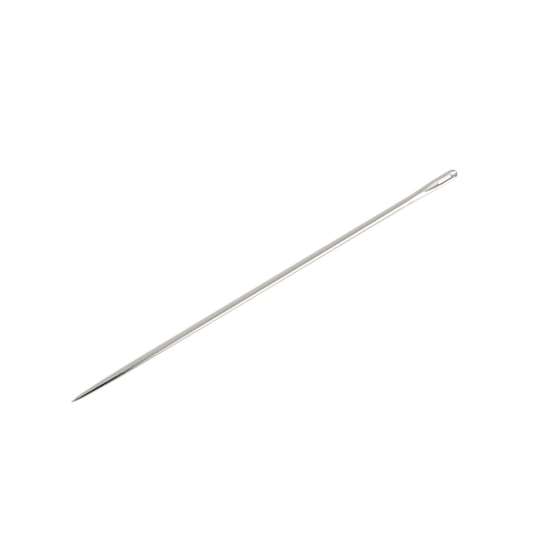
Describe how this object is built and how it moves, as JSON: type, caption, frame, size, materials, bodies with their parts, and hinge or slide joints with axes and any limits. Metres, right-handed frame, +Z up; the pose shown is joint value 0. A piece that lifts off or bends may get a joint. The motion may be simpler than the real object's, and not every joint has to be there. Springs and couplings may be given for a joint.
{
  "type": "sharps sewing needle",
  "caption": "Slim polished steel hand sewing needle with a long sharp point, a straight round shank and a flattened head pierced by a long slotted eye with thread grooves.",
  "frame": {"origin": "on the needle's axis, half way along the parallel stretch of its shank", "axes": "+X along the needle from the point to the eye, +Z up along the eye's hole, +Y across the flat head"},
  "size_m": [0.035, 0.0008, 0.0006],
  "materials": {
    "polished_steel": "polished, nickel-plated"
  },
  "bodies": {
    "root": {"needle": "polished_steel"}
  },
  "joints": []
}
